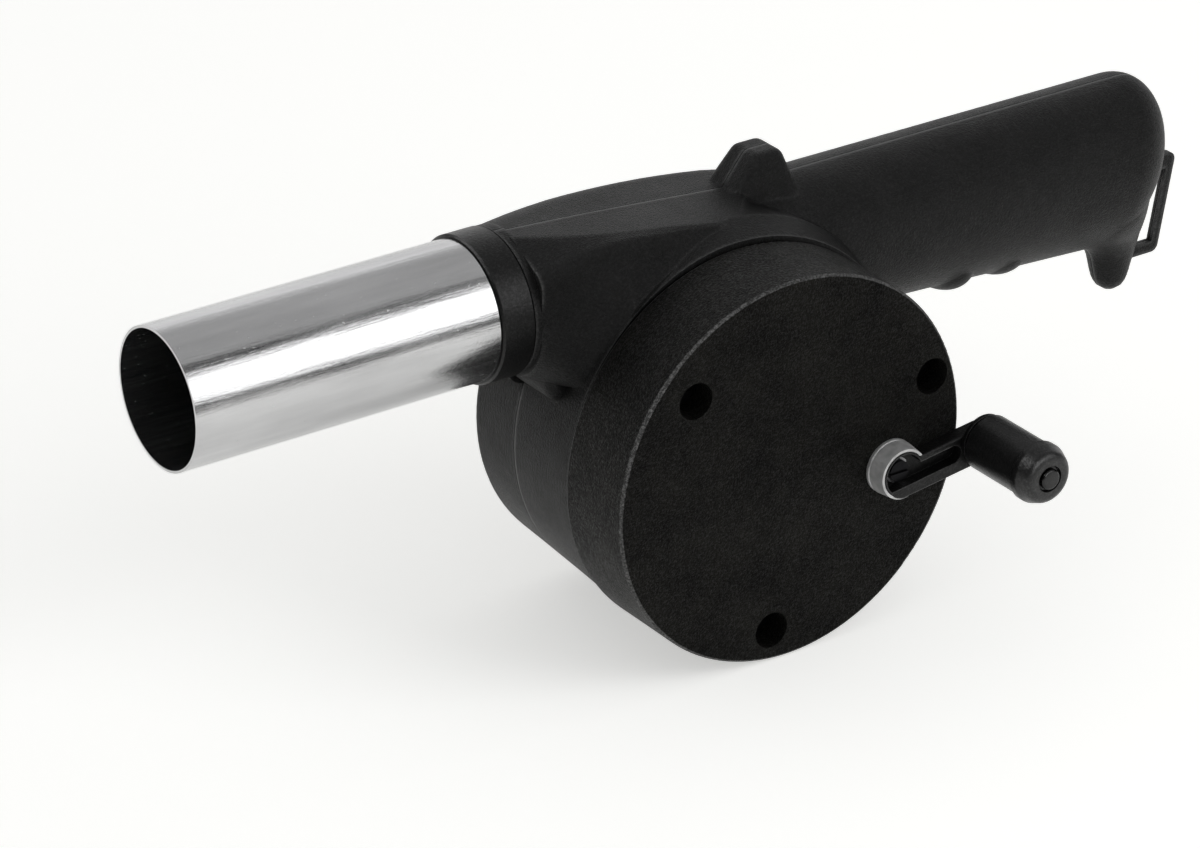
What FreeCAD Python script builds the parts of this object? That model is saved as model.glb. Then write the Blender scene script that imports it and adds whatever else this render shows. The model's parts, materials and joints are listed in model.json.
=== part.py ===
import FreeCAD, Part

import math
import os

from FreeCAD import Matrix, Placement, Rotation, Vector

# Hand-cranked barbecue blower: a moulded fan housing with a steel blow tube,
# a hollow handle, and a crank that drives the fan through two gear stages.
#
# Frame, in millimetres: the origin is the centre of the tube's mouth. +X runs
# back along the tube to the handle, +Z is up, and the crank is on the -Y side.
# The two housing halves meet on the plane y = 0, which holds the tube's axis.

# Blow tube, and the neck that it plugs into
TUBE_RADIUS = 15.75
TUBE_WALL = 0.6
TUBE_PLUG_RADIUS = 14.6
TUBE_PLUG_LENGTH = 14.0
TUBE_SHOULDER = 1.6
NECK_X = 82.3
NECK_RADIUS = 16.4
COLLAR_RADIUS = 16.55
COLLAR_WIDTH = 7.7
COLLAR_GAP = 0.4
COLLAR_EDGE = 0.4
COLLAR_SEAT_RADIUS = 15.5
COLLAR_SEAT_LEAD = 0.3

# Fan drum: its axis runs along Y, and its wall is a scroll that widens
# from its left side, under the drum, round to the top
DRUM_X = 130.4
DRUM_DROP = 36.5
DRUM_FRONT_RADIUS = 44.4
DRUM_MID_RADIUS = DRUM_FRONT_RADIUS - 1.3
DRUM_REAR_RADIUS = DRUM_FRONT_RADIUS - 2.2
DRUM_FRONT = 22.3
DRUM_REAR = 18.0
SCROLL_STEP_RIGHT = 2.2
SCROLL_STEP_TOP = 0.3
SCROLL_JOIN_ANGLE = 150.0
SCROLL_FRONT_SHARE = 0.35
SCROLL_REAR_SHARE = 0.8
DRUM_SHOULDER = 6.5
DRUM_EDGE = 3.0
WALL = 2.0
SEAM = 0.2

# Duct from drum to neck: sections at places along the tube's axis, the last of
# which lies inside the handle and draws the duct's end down into it
DUCT_X = (84.0, 92.5, 104.0, 119.0, 134.0, 150.0, 166.0)
DUCT_TOP = (16.0, 15.45, 14.6, 13.3, 11.9, 10.2, 6.0)
DUCT_FRONT_BEVEL = ((11.4, 6.0), (7.4, 3.2), (3.6, 0.75), (1.7, 0.6), (0.9, 0.5), (7.0, 5.0), (3.0, 2.0))
DUCT_RIDGE_ROUND = (4.0, 3.0, 1.8, 1.0, 0.5, 0.3, 0.3)
DUCT_CREASE_ROUND = (4.0, 3.8, 3.0, 1.5, 0.5, 0.3, 0.3)
DUCT_FRONT_ROUND = (14.0, 1.5, 1.0, 1.0, 1.0, 1.0, 1.0)
DUCT_LEAST_ROUND = 0.2
DUCT_REAR_ROUND = (15.5, 12.6, 9.6, 7.6, 7.1, 8.0, 5.0)
DUCT_BOTTOM_ROUND = (14.0, 12.5, 11.0, 10.0, 9.0, 8.0, 5.0)
DUCT_FRONT = (16.2, 15.9, 15.6, 16.1, 16.8, 8.0, 6.0)
DUCT_REAR = (16.2, 16.6, 17.0, 17.2, 17.0, 15.5, 9.0)
DUCT_BOTTOM = 16.2
DUCT_OPEN_SECTIONS = 6
DUCT_STEP = 6.0

# Foot of the duct's front wall, which leans out from the ridge to the drum's
# rim: depth and height in each section
DUCT_FOOT = ((16.2, -2.0), (20.0, -14.6), (21.9, 0.9), (20.2, 8.3), (17.3, 10.3), (8.6, 3.0), (6.2, 2.0))

# Gear cover
COVER_RADIUS = DRUM_FRONT_RADIUS + 0.6
COVER_DRAFT = 0.1
COVER_DEPTH = 20.3
COVER_GAP = 0.4
COVER_WALL = 2.0
COVER_FACE = 2.2
COVER_EDGE = 0.8
LIP_HEIGHT = 3.0
LIP_WALL = 1.6
LIP_CLEARANCE = 0.2

# Handle: its crown is level, its underside drops towards the end, and the end
# is a dome that leans back
HANDLE_START = 144.0
HANDLE_END = 263.2
HANDLE_TOP = 10.8
HANDLE_START_BOTTOM = -23.7
HANDLE_END_BOTTOM = -30.3
HANDLE_HALF_DEPTH = 15.3
HANDLE_HOLLOW_START = 152.0
DOME_LENGTH = 14.3
DOME_LEAN = 12.0
# Sections of the pommel's horn: height, its centre short of the handle's end, half length, half depth
POMMEL_Z = (-4.0, -12.0, -20.0, -25.0, -28.0, -30.5, -33.0, -36.5, -39.5, -41.6, -42.8)
POMMEL_SET_BACK = (13.4, 14.6, 15.4, 14.6, 12.2, 10.4, 9.6, 9.5, 9.5, 9.4, 9.3)
POMMEL_HALF_LENGTH = (12.4, 13.3, 13.0, 12.0, 9.5, 7.3, 6.0, 5.1, 4.3, 3.2, 1.6)
POMMEL_HALF_DEPTH = (12.3, 13.2, 12.8, 10.5, 8.0, 6.6, 5.6, 4.8, 4.2, 3.1, 1.5)
POMMEL_STEP = 1.6
FINGER_BUMPS = ((202.6, 7.2, 1.7), (217.2, 8.0, 0.9))
BUMP_HALF_DEPTH = 11.0
BUMP_HEIGHT = 8.0

# Lug over the joint of duct, drum and handle
LUG_BASE_X = (136.4, 160.0)
LUG_BASE_Z = 4.0
LUG_BASE_HALF = (6.8, 9.5)
LUG_TOP_X = (148.0, 155.2)
LUG_TOP_Z = 18.7
LUG_TOP_HALF = (5.2, 4.8)
LUG_EDGE = 2.6

# Hanging loop, a flat plate across the parting plane
LOOP_THICKNESS = 1.8
LOOP_TOP_X = HANDLE_END + 8.6
LOOP_TOP_Z = -12.3
LOOP_BOTTOM_Z = -36.7
LOOP_LEAN = 10.5
LOOP_SIDE_BAR = 2.2
LOOP_TOP_BAR = 3.9
LOOP_BOTTOM_BAR = 2.8
LOOP_CORNER = 2.0

# Crank
CRANK_ANGLE = -13.68
CRANK_RIM_GAP = 0.73
CRANK_THROW = 21.6
CRANK_LEAN = 6.5
ARM_HALF_WIDTH = 4.25
ARM_HUB_DROP = 1.6
ARM_KNOB_DROP = 1.3
ARM_HUB_RADIUS = 5.3
ARM_HUB_RECESS = 4.8
ARM_THICKNESS = 3.7
ARM_RECESS = 2.8
ARM_LOWER_RAIL = 2.8
ARM_UPPER_RAIL = 1.4
ARM_EDGE = 0.5
FERRULE_TOP_RADIUS = 5.9
FERRULE_BASE = 0.5
FERRULE_SET_BACK = 0.2
CRANK_SHAFT_RADIUS = 3.0
CRANK_TAIL_RADIUS = 2.0
CRANK_SCREW_RADIUS = 1.25
CRANK_SCREW_LENGTH = 8.0
CRANK_SCREW_HEAD_RADIUS = 2.5
CRANK_SCREW_HEAD = 1.0
BUSH_FLANGE_RADIUS = 6.35
BUSH_FLANGE = 0.9
BUSH_BARREL_RADIUS = 4.4
BUSH_BOSS = 1.0
KNOB_RADIUS = 6.5
KNOB_RING_RADIUS = 7.0
KNOB_RING_WIDTH = 1.6
KNOB_RING_ROUND = 1.3
KNOB_END_RADIUS = 5.6
KNOB_LENGTH = 21.8
KNOB_DOME = 3.4
KNOB_DIMPLE_RADIUS = 3.1
KNOB_DIMPLE_DEPTH = 0.8
KNOB_PIN_RADIUS = 2.0
KNOB_PIN_HEAD_RADIUS = 2.4
KNOB_PIN_HEAD = 1.1
KNOB_WASHER_RADIUS = 6.0
KNOB_WASHER = 1.1
KNOB_EDGE = 0.6
KNOB_ROUND = 2.0
RIVET_ROUND = 0.6
RIVET_TAIL = 0.5
BUSH_EDGE = 0.4

# Gears: one module and one pressure angle for both stages
MODULE = 0.8
PRESSURE_ANGLE = 25.0
BACKLASH = 0.16
CRANK_TEETH = 36
STEP_PINION_TEETH = 14
STEP_WHEEL_TEETH = 40
FAN_TEETH = 12
GEAR_WIDTH = 4.8
GEAR_SIDE_GAP = 0.5
LAYER_GAP = 1.2
GEAR_HUB_WALL = 2.0
WEB_THICKNESS = 2.4
RIM_WALL = 1.8
STEP_AXLE_RADIUS = 1.5
STEP_WASHER = 0.6
STEP_WASHER_RADIUS = 3.4
AXLE_FLOOR = 0.8
TOOTH_ROOT = 1.25
PINION_HUB_WALL = 1.4
SHAFT_FLAT = 0.5

# Fan
FAN_RADIUS = 31.5
FAN_EYE_RADIUS = 19.0
FAN_BLADES = 10
FAN_BLADE_THICKNESS = 1.3
FAN_BLADE_SWEEP = 32.0
FAN_BLADE_BOW = 0.38
FAN_PLATE = 1.4
FAN_WIDTH = 27.0
FAN_WALL_GAP = 2.4
FAN_HUB_RADIUS = 5.6
FAN_HUB_LENGTH = 16.0
FAN_SHAFT_RADIUS = 2.0
FAN_NUT_ACROSS = 7.0
FAN_NUT = 3.2
FAN_SHAFT_TAIL = 1.6

# Plain bushes of the two inner bearings on the wall between gears and fan
BUSH_WALL = 1.2
BEARING_LENGTH = 5.0
BEARING_FLANGE = 0.8
BEARING_BOSS_WALL = 2.0

# Air inlet in the rear half: ring slots between spokes
INLET_RINGS = ((8.6, 12.4), (14.4, 18.2), (20.2, 24.0))
INLET_SPOKES = 6
INLET_SPOKE_WIDTH = 2.6

# Screws: the cover's three, as angle and distance in from its rim, and those
# that join the halves from behind
COVER_SCREW_PLACES = ((137.1, 9.9), (18.0, 5.8), (262.4, 7.2))
COVER_RECESS_RADIUS = 4.2
COVER_RECESS_DEPTH = 7.5
COVER_SEAT = 2.0
SCREW_RADIUS = 1.5
SCREW_HEAD_RADIUS = 2.9
SCREW_HEAD = 2.0
SCREW_GRIP = 7.0
SCREW_SLOT_WIDTH = 0.8
SCREW_SLOT_DEPTH = 1.0
POST_WALL = 1.4
BOSS_X = 90.5
BOSS_Z = -16.9
BOSS_RADIUS = 4.8
BOSS_FRONT_RADIUS = 3.6
BOSS_FRONT = 14.8
BOSS_ROUND = 2.4
BOSS_REAR = 15.0
SHELL_SCREW_PLACES = ((144.0, 4.5), (BOSS_X, BOSS_Z), (200.0, -8.0), (HANDLE_END - 18.2, -10.0))
POST_RADIUS = 4.2
SHELL_SEAT_Y = 10.0
SHELL_SCREW_LENGTH = 18.0

# How far cuts reach past a face and joined solids into each other, and how
# near a face an edge lies that is picked by its place
THROUGH = 1.0
NEAR = 0.1

# Fits
RUNNING = 0.05
LOOSE = 0.15
PRESS = 0.01
SIDE_PLAY = 0.3

# Places that follow from the sizes above
DRUM_Z = -DRUM_DROP
RIM_Y = -(DRUM_FRONT + COVER_GAP)
FACE_Y = RIM_Y - COVER_DEPTH
COVER_INNER_Y = FACE_Y + COVER_FACE
PARTITION_Y = -DRUM_FRONT
CHAMBER_FRONT_Y = PARTITION_Y + WALL
CHAMBER_REAR_Y = DRUM_REAR - WALL
CRANK_REACH = COVER_RADIUS - COVER_WALL - CRANK_RIM_GAP - MODULE * (CRANK_TEETH / 2 + 1)
CRANK_X = DRUM_X + CRANK_REACH * math.cos(math.radians(CRANK_ANGLE))
CRANK_Z = DRUM_Z + CRANK_REACH * math.sin(math.radians(CRANK_ANGLE))
KNOB_X = CRANK_X + CRANK_THROW * math.cos(math.radians(CRANK_LEAN))
KNOB_Z = CRANK_Z + CRANK_THROW * math.sin(math.radians(CRANK_LEAN))
BUSH_FRONT_Y = FACE_Y - BUSH_FLANGE
BUSH_REAR_Y = COVER_INNER_Y + BUSH_BOSS
ARM_REAR_Y = BUSH_FRONT_Y - SIDE_PLAY - FERRULE_BASE
ARM_FRONT_Y = ARM_REAR_Y - ARM_THICKNESS
FRONT_GEAR_Y = BUSH_REAR_Y + GEAR_SIDE_GAP
REAR_GEAR_Y = FRONT_GEAR_Y + GEAR_WIDTH + LAYER_GAP
FAN_FRONT_Y = CHAMBER_FRONT_Y + FAN_WALL_GAP
COLLAR_X = NECK_X - COLLAR_GAP - COLLAR_WIDTH
FAN_BUSH_Y = CHAMBER_FRONT_Y - BEARING_LENGTH - BEARING_FLANGE
STEP_BOSS_Y = REAR_GEAR_Y + GEAR_WIDTH + SIDE_PLAY + STEP_WASHER
FAN_HUB_END_Y = FAN_FRONT_Y + FAN_HUB_LENGTH
FAN_SHAFT_END_Y = FAN_HUB_END_Y + FAN_NUT + FAN_SHAFT_TAIL
KNOB_START_Y = ARM_FRONT_Y - KNOB_WASHER - SIDE_PLAY
KNOB_END_Y = KNOB_START_Y - KNOB_LENGTH


def step_axis():
    """Place of the step gear's axle: both meshes at their true centre distance."""
    to_crank = MODULE * (CRANK_TEETH + STEP_PINION_TEETH) / 2
    to_fan = MODULE * (STEP_WHEEL_TEETH + FAN_TEETH) / 2
    along = (to_fan ** 2 - to_crank ** 2 + CRANK_REACH ** 2) / (2 * CRANK_REACH)
    aside = math.sqrt(to_fan ** 2 - along ** 2)
    ux = (CRANK_X - DRUM_X) / CRANK_REACH
    uz = (CRANK_Z - DRUM_Z) / CRANK_REACH
    return DRUM_X + along * ux + aside * uz, DRUM_Z + along * uz - aside * ux


STEP_X, STEP_Z = step_axis()


# Shape helpers

def cyl_y(x, z, radius, y0, y1):
    return Part.makeCylinder(radius, y1 - y0, Vector(x, y0, z), Vector(0, 1, 0))


def ring_y(x, z, outer, inner, y0, y1):
    return cyl_y(x, z, outer, y0, y1).cut(cyl_y(x, z, inner, y0 - THROUGH, y1 + THROUGH))


def block(x0, x1, y0, y1, z0, z1):
    return Part.makeBox(x1 - x0, y1 - y0, z1 - z0, Vector(x0, y0, z0))


def fuse_all(shapes):
    return shapes[0].fuse(shapes[1:]).removeSplitter() if len(shapes) > 1 else shapes[0]


def revolve(points, base, axis):
    face = Part.Face(Part.makePolygon(points + [points[0]]))
    return face.revolve(base, axis, 360)


def revolve_y(x, z, profile):
    """Solid of revolution about the Y line through x, z; the profile is (radius, y)."""
    points = [Vector(x + r, y, z) for r, y in profile]
    return revolve(points, Vector(x, 0, z), Vector(0, 1, 0))


def revolve_x(profile):
    """Solid of revolution about the tube's axis; the profile is (x, radius)."""
    points = [Vector(x, 0, r) for x, r in profile]
    return revolve(points, Vector(0, 0, 0), Vector(1, 0, 0))


def extrude_y(edges, y0, y1):
    wire = Part.Wire(edges)
    wire.translate(Vector(0, y0, 0))
    return Part.Face(wire).extrude(Vector(0, y1 - y0, 0))


def arc(a, b, c):
    return Part.Arc(a, b, c).toShape()


def line(a, b):
    return Part.LineSegment(a, b).toShape()


def hull_outline(x0, z0, r0, x1, z1, r1):
    """Outline round two circles, as arcs joined by their common tangents."""
    span = math.hypot(x1 - x0, z1 - z0)
    heading = math.atan2(z1 - z0, x1 - x0)
    side = math.acos((r0 - r1) / span)

    def on(x, z, radius, angle):
        return Vector(x + radius * math.cos(angle), 0, z + radius * math.sin(angle))

    left = heading + side
    right = heading - side
    return [
        arc(on(x0, z0, r0, left), on(x0, z0, r0, heading + math.pi), on(x0, z0, r0, right)),
        line(on(x0, z0, r0, right), on(x1, z1, r1, right)),
        arc(on(x1, z1, r1, right), on(x1, z1, r1, heading), on(x1, z1, r1, left)),
        line(on(x1, z1, r1, left), on(x0, z0, r0, left)),
    ]


def polar(radius, degrees):
    angle = math.radians(degrees)
    return radius * math.cos(angle), radius * math.sin(angle)


def edges_where(shape, test):
    return [edge for edge in shape.Edges if test(edge.BoundBox)]


def round_edges(shape, radius, test):
    return shape.makeFillet(radius, edges_where(shape, test))


# Housing, outside and inside

def scroll_wire(y, radius, share):
    """Outline of the drum: quarter arcs whose centres step outwards."""
    raise_z = SCROLL_STEP_RIGHT * share
    step_top = SCROLL_STEP_TOP * share
    right = radius + raise_z
    top_radius = right + step_top
    joins = {}
    joins["left"] = (-radius, 0)
    joins["bottom"] = (0, -radius)
    joins["right"] = (right, raise_z)
    joins["top"] = (-step_top, raise_z + top_radius)
    joins["join"] = polar(radius, SCROLL_JOIN_ANGLE)
    turn = math.radians(SCROLL_JOIN_ANGLE - 90)
    reach = 4 / 3 * math.tan(turn / 4) * top_radius
    join_along = polar(reach, SCROLL_JOIN_ANGLE - 90)
    half = math.sqrt(0.5)
    via = {}
    via["bottom"] = (-radius * half, -radius * half)
    via["right"] = (right * half, raise_z - right * half)
    via["top"] = (-step_top + top_radius * half, raise_z + top_radius * half)
    via["left"] = polar(radius, (SCROLL_JOIN_ANGLE + 180) / 2)

    def place(point):
        return Vector(DRUM_X + point[0], y, DRUM_Z + point[1])

    def quarter(start, end):
        return arc(place(joins[start]), place(via[end]), place(joins[end]))

    top = joins["top"]
    join = joins["join"]
    blend = Part.BezierCurve()
    blend.setPoles([place(top), place((top[0] - reach, top[1])),
                    place((join[0] + join_along[0], join[1] + join_along[1])), place(join)])
    return Part.Wire([quarter("left", "bottom"), quarter("bottom", "right"), quarter("right", "top"),
                      blend.toShape(), quarter("join", "left")])


def drum(inset, front, rear):
    shoulder_y = -DRUM_FRONT + DRUM_SHOULDER
    shoulder_share = -shoulder_y / DRUM_FRONT
    shoulder_radius = DRUM_MID_RADIUS + shoulder_share * (DRUM_FRONT_RADIUS - DRUM_MID_RADIUS)
    wires = [
        scroll_wire(-front, DRUM_FRONT_RADIUS - inset, SCROLL_FRONT_SHARE),
        scroll_wire(shoulder_y, shoulder_radius - inset, 1),
        scroll_wire(0, DRUM_MID_RADIUS - inset, 1),
        scroll_wire(rear, DRUM_REAR_RADIUS - inset, SCROLL_REAR_SHARE),
    ]
    return Part.makeLoft(wires, True, True)


def corner_arc(before, corner, after, radius):
    """Start, middle and end of the arc that rounds a corner between two straight lines."""
    back = (before - corner).normalize()
    ahead = (after - corner).normalize()
    half_angle = back.getAngle(ahead) / 2
    inward = (back + ahead).normalize()
    reach = radius / math.tan(half_angle)
    middle = corner + inward * (radius / math.sin(half_angle) - radius)
    return corner + back * reach, middle, corner + ahead * reach


def smooth_between(places, values, at):
    """Value at a place, on the smooth curve through the values in the sections."""
    last = len(places) - 1
    number = 0
    while number < last - 1 and (at - places[number + 1]) * (places[-1] - places[0]) > 0:
        number += 1

    def slope(section):
        before = max(section - 1, 0)
        after = min(section + 1, last)
        return (values[after] - values[before]) / (places[after] - places[before])

    span = places[number + 1] - places[number]
    share = (at - places[number]) / span
    rest = 1 - share
    ends = values[number] * rest ** 2 * (1 + 2 * share) + values[number + 1] * share ** 2 * (1 + 2 * rest)
    return ends + (slope(number) * rest - slope(number + 1) * share) * share * rest * span


def between(places, step):
    """The places, with more of them between, no further apart than the step."""
    found = [places[0]]
    for start, end in zip(places, places[1:]):
        pieces = math.ceil(abs(end - start) / step)
        found.extend(start + (end - start) * (number + 1) / pieces for number in range(pieces))
    return found


def along_duct(values, x):
    return smooth_between(DUCT_X, values, x)


def duct_wire(x, inset):
    front = -along_duct(DUCT_FRONT, x) + inset
    rear = along_duct(DUCT_REAR, x) - inset
    top = along_duct(DUCT_TOP, x) - inset
    bottom = -DUCT_BOTTOM + inset
    bevel_y, bevel_z = [along_duct(values, x) for values in zip(*DUCT_FRONT_BEVEL)]
    foot_depth, foot_z = [along_duct(values, x) for values in zip(*DUCT_FOOT)]
    upper = along_duct(DUCT_REAR_ROUND, x) - inset
    lower = along_duct(DUCT_BOTTOM_ROUND, x) - inset
    toe = max(along_duct(DUCT_FRONT_ROUND, x) - inset, DUCT_LEAST_ROUND)
    ridge_round = max(along_duct(DUCT_RIDGE_ROUND, x) - inset, DUCT_LEAST_ROUND)
    crease_round = max(along_duct(DUCT_CREASE_ROUND, x) - inset, DUCT_LEAST_ROUND)
    half_root = math.sqrt(0.5)

    def at(y, z):
        return Vector(x, y, z)

    def corner(y, z, radius, side_y, side_z):
        return at(y + side_y * radius * half_root, z + side_z * radius * half_root)

    foot_y = -foot_depth + inset
    toe_z = bottom + toe
    foot = at(foot_y, max(foot_z - inset, toe_z + DUCT_LEAST_ROUND))
    ridge = at(front, top - bevel_z)
    crease = at(front + bevel_y, top)
    crown = at(rear - upper, top)
    ridge_arc = corner_arc(foot, ridge, crease, ridge_round)
    crease_arc = corner_arc(ridge, crease, crown, crease_round)

    edges = [
        line(foot, ridge_arc[0]),
        arc(*ridge_arc),
        line(ridge_arc[2], crease_arc[0]),
        arc(*crease_arc),
        line(crease_arc[2], crown),
        arc(crown, corner(rear - upper, top - upper, upper, 1, 1), at(rear, top - upper)),
        line(at(rear, top - upper), at(rear, bottom + lower)),
        arc(at(rear, bottom + lower), corner(rear - lower, bottom + lower, lower, 1, -1),
            at(rear - lower, bottom)),
        line(at(rear - lower, bottom), at(foot_y + toe, bottom)),
        arc(at(foot_y + toe, bottom), corner(foot_y + toe, toe_z, toe, -1, -1), at(foot_y, toe_z)),
        line(at(foot_y, toe_z), foot),
    ]
    return Part.Wire(edges)


def duct(inset):
    """The duct in short straight pieces, up to its last open section."""
    places = between(DUCT_X[:DUCT_OPEN_SECTIONS], DUCT_STEP)
    return Part.makeLoft([duct_wire(x, inset) for x in places], True, True)


def duct_end():
    """Taper that brings the duct's end down into the handle."""
    return Part.makeLoft([duct_wire(x, 0) for x in DUCT_X[DUCT_OPEN_SECTIONS - 1:]], True, True)


def neck(radius, x0, x1):
    return Part.makeCylinder(radius, x1 - x0, Vector(x0, 0, 0), Vector(1, 0, 0))


def grip_size(x, inset):
    """Height of the handle's axis at x, and half its own height there."""
    bottom = grip_bottom(x)
    return (HANDLE_TOP + bottom) / 2, (HANDLE_TOP - bottom) / 2 - inset


def grip_wire(x, inset, lean):
    middle, tall = grip_size(x, inset)
    centre = Vector(x, 0, middle)
    crown = centre + Vector(lean * tall, 0, tall)
    side = centre + Vector(0, HANDLE_HALF_DEPTH - inset, 0)
    return Part.Wire([Part.Ellipse(crown, side, centre).toShape()])


def grip(start, inset):
    """Handle with a leaning, domed end; the inset gives its hollow."""
    lean = math.tan(math.radians(DOME_LEAN))
    dome_x = HANDLE_END - DOME_LENGTH
    middle, tall = grip_size(dome_x, inset)
    tube = Part.makeLoft([grip_wire(start, inset, 0), grip_wire(dome_x, inset, lean)], True, True)
    stretch = Matrix()
    stretch.scale(DOME_LENGTH - inset, HANDLE_HALF_DEPTH - inset, tall)
    shear = Matrix()
    shear.A13 = lean
    dome = Part.makeSphere(1.0, Vector(0, 0, 0), Vector(1, 0, 0), 0, 90, 360)
    dome = dome.transformGeometry(stretch).transformGeometry(shear)
    dome.translate(Vector(dome_x, 0, middle))
    return tube.fuse(dome)


def grip_bottom(x):
    share = (x - HANDLE_START) / (HANDLE_END - HANDLE_START)
    return HANDLE_START_BOTTOM + share * (HANDLE_END_BOTTOM - HANDLE_START_BOTTOM)


def finger_bump(x, half_length, rise):
    scale = Matrix()
    scale.scale(half_length, BUMP_HALF_DEPTH, BUMP_HEIGHT)
    bump = Part.makeSphere(1.0).transformGeometry(scale)
    bump.translate(Vector(x, 0, grip_bottom(x) - rise + BUMP_HEIGHT))
    return bump


def pommel():
    """Horn under the handle's end: flat ellipses that narrow downwards, in short straight pieces."""
    def section(z):
        set_back, long, deep = [smooth_between(POMMEL_Z, values, z)
                                for values in (POMMEL_SET_BACK, POMMEL_HALF_LENGTH, POMMEL_HALF_DEPTH)]
        centre = Vector(HANDLE_END - set_back, 0, z)
        along = centre + Vector(long, 0, 0)
        across = centre + Vector(0, deep, 0)
        return Part.Wire([Part.Ellipse(along, across, centre).toShape()])

    return Part.makeLoft([section(z) for z in between(POMMEL_Z, POMMEL_STEP)], True, True)


def lug():
    def outline(xs, halves, z):
        points = [Vector(xs[0], -halves[0], z), Vector(xs[1], -halves[1], z), Vector(xs[1], halves[1], z),
                  Vector(xs[0], halves[0], z)]
        return Part.makePolygon(points + [points[0]])

    base = outline(LUG_BASE_X, LUG_BASE_HALF, LUG_BASE_Z)
    top = outline(LUG_TOP_X, LUG_TOP_HALF, LUG_TOP_Z)
    body = Part.makeLoft([base, top], True, True)
    return round_edges(body, LUG_EDGE, lambda b: b.ZMax > LUG_TOP_Z - THROUGH)


def loop_plate():
    """Hanging loop: a plate that stands out of the handle's end, with a slot."""
    lean = math.tan(math.radians(LOOP_LEAN))
    half_thick = LOOP_THICKNESS / 2
    inner = HANDLE_END - DOME_LENGTH

    def leaning_plate(outer_x, top, bottom, half_depth):
        foot = outer_x - (top - bottom) * lean
        points = [Vector(inner, -half_depth, top), Vector(outer_x, -half_depth, top),
                  Vector(foot, -half_depth, bottom), Vector(inner, -half_depth, bottom)]
        return Part.Face(Part.makePolygon(points + [points[0]])).extrude(Vector(0, 2 * half_depth, 0))

    plate = leaning_plate(LOOP_TOP_X, LOOP_TOP_Z, LOOP_BOTTOM_Z, half_thick)
    plate = round_edges(plate, LOOP_CORNER, lambda b: b.XMin > inner + 1 and b.YLength > half_thick)
    slot_x = LOOP_TOP_X - LOOP_SIDE_BAR - LOOP_TOP_BAR * lean
    slot = leaning_plate(slot_x, LOOP_TOP_Z - LOOP_TOP_BAR, LOOP_BOTTOM_Z + LOOP_BOTTOM_BAR, LOOP_THICKNESS)
    return plate.cut(slot)


def screw_boss():
    front = cyl_y(BOSS_X, BOSS_Z, BOSS_FRONT_RADIUS, -BOSS_FRONT, 0)
    rear = cyl_y(BOSS_X, BOSS_Z, BOSS_RADIUS, 0, BOSS_REAR)
    front = round_edges(front, BOSS_ROUND, lambda b: b.YMax < NEAR - BOSS_FRONT)
    rear = round_edges(rear, POST_WALL, lambda b: b.YMin > BOSS_REAR - NEAR)
    return front.fuse(rear)


def outer_body():
    body = drum(0, DRUM_FRONT, DRUM_REAR)
    body = round_edges(body, DRUM_EDGE, lambda b: b.YMin > DRUM_REAR - NEAR)
    bumps = [finger_bump(x, half_length, rise) for x, half_length, rise in FINGER_BUMPS]
    parts = [duct(0), duct_end(), neck(NECK_RADIUS, NECK_X, DUCT_X[0] + THROUGH), grip(HANDLE_START, 0),
             pommel(), lug(), loop_plate(), screw_boss()]
    for part in parts + bumps:
        body = body.fuse(part)
    return body


def tube_bore():
    return neck(TUBE_PLUG_RADIUS + RUNNING, NECK_X - THROUGH, NECK_X + TUBE_PLUG_LENGTH + SIDE_PLAY)


def air_space():
    """Everything that air fills: fan chamber, duct and neck bore."""
    chamber = drum(WALL, DRUM_FRONT - WALL, DRUM_REAR - WALL)
    return fuse_all([chamber, duct(WALL), tube_bore()])


def cover_screw_places():
    offsets = [polar(COVER_RADIUS - inset, angle) for angle, inset in COVER_SCREW_PLACES]
    return [(DRUM_X + dx, DRUM_Z + dz) for dx, dz in offsets]


def posts(inside):
    shapes = []
    for x, z in SHELL_SCREW_PLACES:
        shapes.append(cyl_y(x, z, POST_RADIUS, -HANDLE_HALF_DEPTH, DRUM_REAR))
    for x, z in cover_screw_places():
        tip = CHAMBER_FRONT_Y + SCREW_GRIP + THROUGH
        shapes.append(cyl_y(x, z, SCREW_RADIUS + POST_WALL, PARTITION_Y, tip))
    return Part.makeCompound(shapes).common(inside)


def shell_screw_holes():
    holes = []
    for x, z in SHELL_SCREW_PLACES:
        tip = SHELL_SEAT_Y - SHELL_SCREW_LENGTH - LOOSE
        holes.append(cyl_y(x, z, SCREW_RADIUS + PRESS, tip, 0))
        holes.append(cyl_y(x, z, SCREW_RADIUS + LOOSE, 0, SHELL_SEAT_Y + THROUGH))
        holes.append(cyl_y(x, z, SCREW_HEAD_RADIUS + LOOSE, SHELL_SEAT_Y, DRUM_REAR + THROUGH))
    return holes


def housing():
    """Both halves before they are parted: outside, hollows and screw posts."""
    outside = outer_body()
    drum_outside = drum(0, DRUM_FRONT, DRUM_REAR)
    handle_hollow = grip(HANDLE_HOLLOW_START, WALL).cut(drum_outside)
    body = outside.cut([air_space(), handle_hollow])
    body = body.fuse(posts(outside))
    return body.cut(shell_screw_holes() + [tube_bore()])


def half(body, y0, y1):
    low = DRUM_Z - COVER_RADIUS - THROUGH
    return body.common(block(0, LOOP_TOP_X + THROUGH, y0, y1, low, LUG_TOP_Z + THROUGH))


def bearing_boss(x, z):
    radius = FAN_SHAFT_RADIUS + BUSH_WALL + BEARING_BOSS_WALL
    return cyl_y(x, z, radius, CHAMBER_FRONT_Y - BEARING_LENGTH, CHAMBER_FRONT_Y)


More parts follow.
